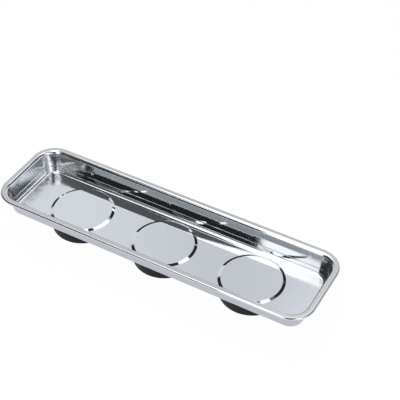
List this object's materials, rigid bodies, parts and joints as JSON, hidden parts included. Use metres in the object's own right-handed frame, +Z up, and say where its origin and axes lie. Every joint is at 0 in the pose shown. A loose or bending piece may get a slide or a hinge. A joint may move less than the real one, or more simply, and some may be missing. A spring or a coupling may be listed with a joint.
{
  "type": "magnetic parts tray",
  "caption": "Long shallow stainless tray with round corners and a rolled rim, standing on rubber-booted magnet feet, to hold small steel parts and cling to steel surfaces.",
  "frame": {"origin": "centre of the tray, on the surface that the rubber feet stand on", "axes": "+X along the tray's length, +Y across it, +Z up out of the tray"},
  "size_m": [0.35, 0.099, 0.0419],
  "materials": {
    "stainless": "mirror polished inside, satin outside",
    "rubber": "satin moulded rubber",
    "zinc_steel": "zinc-plated steel",
    "ferrite": "matt sintered ferrite"
  },
  "bodies": {
    "root": {"pan": "stainless", "left_weld_stud": "zinc_steel", "middle_weld_stud": "zinc_steel", "right_weld_stud": "zinc_steel", "left_magnet_cup": "zinc_steel", "middle_magnet_cup": "zinc_steel", "right_magnet_cup": "zinc_steel", "left_ring_magnet": "ferrite", "middle_ring_magnet": "ferrite", "right_ring_magnet": "ferrite", "left_flat_washer": "zinc_steel", "middle_flat_washer": "zinc_steel", "right_flat_washer": "zinc_steel", "left_spring_washer": "zinc_steel", "middle_spring_washer": "zinc_steel", "right_spring_washer": "zinc_steel", "left_hex_nut": "zinc_steel", "middle_hex_nut": "zinc_steel", "right_hex_nut": "zinc_steel", "left_rubber_boot": "rubber", "middle_rubber_boot": "rubber", "right_rubber_boot": "rubber"}
  },
  "joints": []
}
